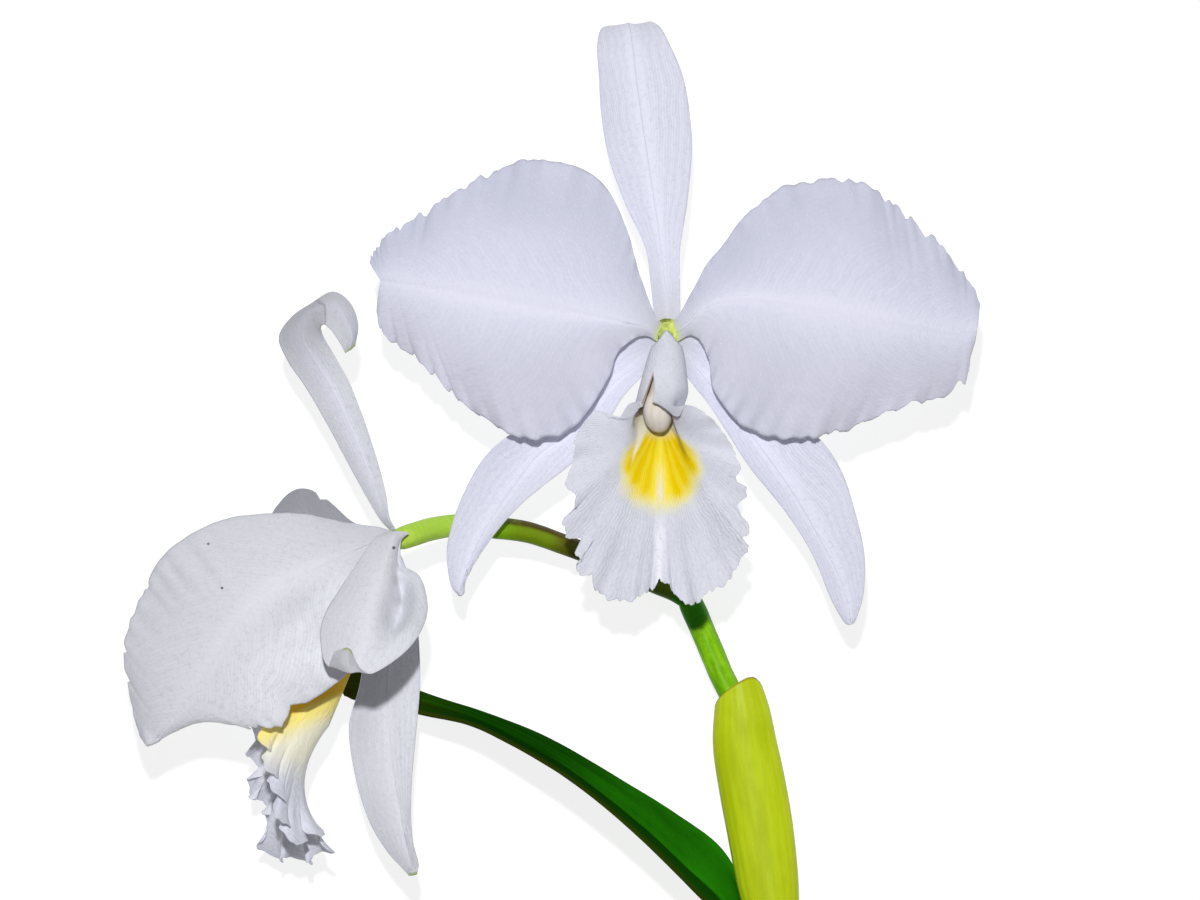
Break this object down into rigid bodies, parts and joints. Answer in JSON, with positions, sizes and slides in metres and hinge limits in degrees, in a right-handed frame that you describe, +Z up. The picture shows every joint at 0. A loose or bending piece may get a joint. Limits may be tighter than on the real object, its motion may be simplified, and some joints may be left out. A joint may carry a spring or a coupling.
{
  "type": "cattleya orchid",
  "caption": "Cut cattleya orchid stem laid down, with open frilled flowers, a leaf, a papery sheath and the top of its storage stem.",
  "frame": {"origin": "bottom centre of the bounding box: the middle of the laid down stem, on the surface it lies on", "axes": "+Z up from the surface, +Y from the cut end of the stem towards the large flower's upper sepal, +X to the right when the large flower is seen from above with the cut end at the bottom"},
  "size_m": [0.2306, 0.273, 0.0784],
  "materials": {
    "tepal": "soft satin petal, white with a cool lilac tint",
    "lip": "soft satin petal, white with a yellow throat",
    "column": "waxy cream",
    "stem": "fresh green, slightly glossy",
    "sheath": "thin yellow-green, streaked",
    "leaf": "leathery dark green, glossy",
    "pseudobulb": "ribbed green"
  },
  "bodies": {
    "root": {"column_a": "column", "column_b": "column", "dorsal_sepal_a": "tepal", "dorsal_sepal_b": "tepal", "far_petal_b": "tepal", "far_sepal_b": "tepal", "flower_stem": "stem", "leaf": "leaf", "left_petal_a": "tepal", "left_sepal_a": "tepal", "lip_a": "lip", "lip_b": "lip", "near_petal_b": "tepal", "near_sepal_b": "tepal", "pseudobulb_top": "pseudobulb", "right_petal_a": "tepal", "right_sepal_a": "tepal", "sheath": "sheath"}
  },
  "joints": []
}
